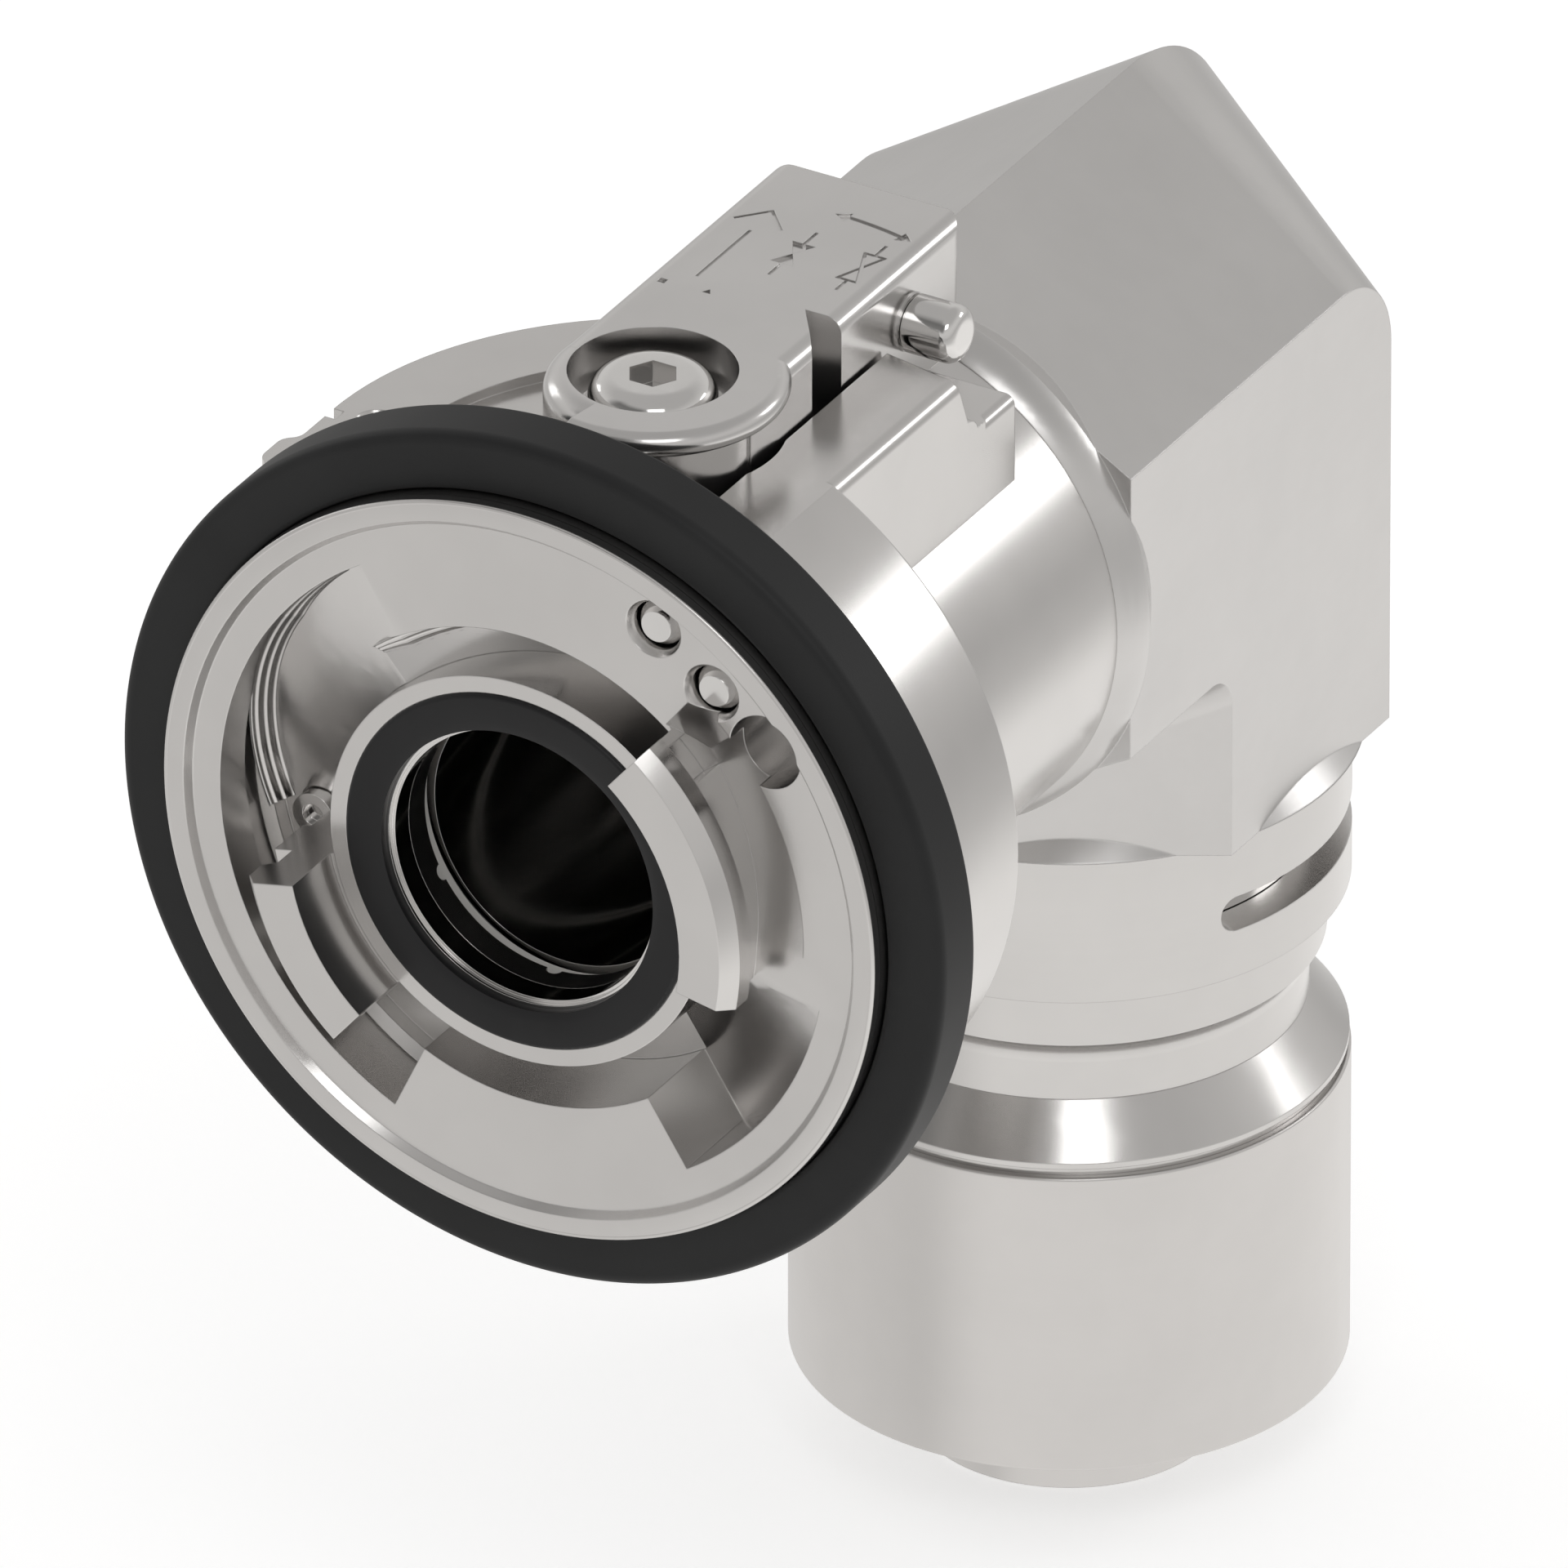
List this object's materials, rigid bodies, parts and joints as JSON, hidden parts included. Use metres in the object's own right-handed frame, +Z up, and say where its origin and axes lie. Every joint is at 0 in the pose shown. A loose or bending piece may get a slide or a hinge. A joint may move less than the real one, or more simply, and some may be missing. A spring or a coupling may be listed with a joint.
{
  "type": "quick coupling",
  "caption": "Stainless half of a claw quick coupling with a ball valve worked by a lever, a mitred hexagonal elbow and a turning swivel end.",
  "frame": {"origin": "centre of the bumper ring's front face, on the flow axis of the mouth", "axes": "+Y back along the flow from the mouth, +Z up towards the lever, +X to the right seen from the front"},
  "size_m": [0.1016, 0.1612, 0.1786],
  "materials": {
    "steel": "satin, fine turned",
    "machined": "machined",
    "polished": "polished",
    "bumper": "matte",
    "seal": "satin",
    "seat": "matte"
  },
  "bodies": {
    "valve": {"claw_ring": "machined", "bumper_ring": "bumper", "nose_tube": "steel", "nose_seal": "seal", "nose_sleeve": "machined", "face_screws": "machined", "interlock_spring_upper": "steel", "interlock_spring_lower": "steel", "valve_body": "steel", "seat_front": "seat", "seat_rear": "seat", "stem_seal": "seat", "elbow_block": "steel", "swivel_leg": "steel", "tail_tube": "steel", "elbow_gasket": "seat", "retaining_ring": "steel"},
    "lever": {"valve_lever": "steel", "lever_washer": "machined", "lever_screw": "machined", "valve_stem": "steel", "valve_ball": "polished", "lock_spring": "steel"},
    "knob": {"lock_knob": "machined"},
    "lock": {"lock_pin": "machined"},
    "pin_upper": {"interlock_pin_upper": "machined"},
    "pin_lower": {"interlock_pin_lower": "machined"},
    "swivel": {"swivel_nipple": "steel", "swivel_seal": "seal", "wiper_ring": "seal", "barrel_collar": "steel", "lower_barrel": "steel", "barrel_seal": "seat", "pipe_end": "steel"}
  },
  "joints": [
    {"name": "lever_turn", "type": "hinge", "parent": "valve", "child": "lever", "pos_m": [0, 0.0265, 0], "axis": [0, 0, 1], "range_deg": [0, 90]},
    {"name": "knob_pull", "type": "slide", "parent": "lever", "child": "knob", "axis": [1, 0, 0], "range_m": [0, 0.003], "stiffness_N_per_m": 500, "springref_m": -0.003, "deforming": ["lock_spring"]},
    {"name": "lock_drop", "type": "slide", "parent": "lever", "child": "lock", "axis": [0, 0, -1], "range_m": [0, 0.0015]},
    {"name": "upper_pin_push", "type": "slide", "parent": "valve", "child": "pin_upper", "axis": [0, 1, 0], "range_m": [0, 0.003], "stiffness_N_per_m": 700, "springref_m": -0.003, "deforming": ["interlock_spring_upper"]},
    {"name": "lower_pin_push", "type": "slide", "parent": "valve", "child": "pin_lower", "axis": [0, 1, 0], "range_m": [0, 0.003], "stiffness_N_per_m": 700, "springref_m": -0.003, "deforming": ["interlock_spring_lower"]},
    {"name": "swivel_turn", "type": "hinge", "parent": "valve", "child": "swivel", "pos_m": [0, 0.1168, -0.05], "axis": [0, 0, 1], "continuous": true}
  ],
  "couplings": [
    {"joint": "lock_drop", "follows": "knob_pull", "ratio": 0.5}
  ]
}
